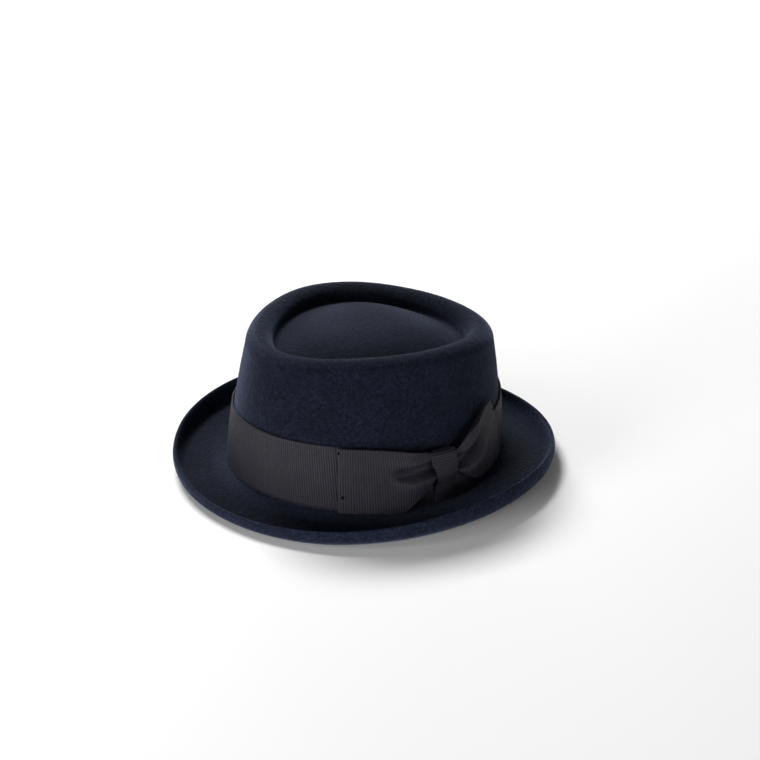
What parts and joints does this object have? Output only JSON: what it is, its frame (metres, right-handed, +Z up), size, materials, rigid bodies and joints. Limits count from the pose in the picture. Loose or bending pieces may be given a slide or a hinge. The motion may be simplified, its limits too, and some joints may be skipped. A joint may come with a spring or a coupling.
{
  "type": "pork pie hat",
  "caption": "Felt pork pie hat with a creased and domed crown, a narrow curled brim, a wide ribbed ribbon band and a flat ribbon bow on the wearer's left.",
  "frame": {"origin": "centre of the hat's box at the surface it stands on", "axes": "+Z up, the hat's front towards -Y, the bow and the wearer's left towards +X"},
  "size_m": [0.2642, 0.2724, 0.1106],
  "materials": {
    "navy_felt": "matt wool felt with a short soft nap",
    "charcoal_ribbon": "ribbed grosgrain ribbon with a slight lustre"
  },
  "bodies": {
    "root": {"felt_body": "navy_felt", "hat_band": "charcoal_ribbon", "bow_loops": "charcoal_ribbon", "bow_knot": "charcoal_ribbon"}
  },
  "joints": []
}
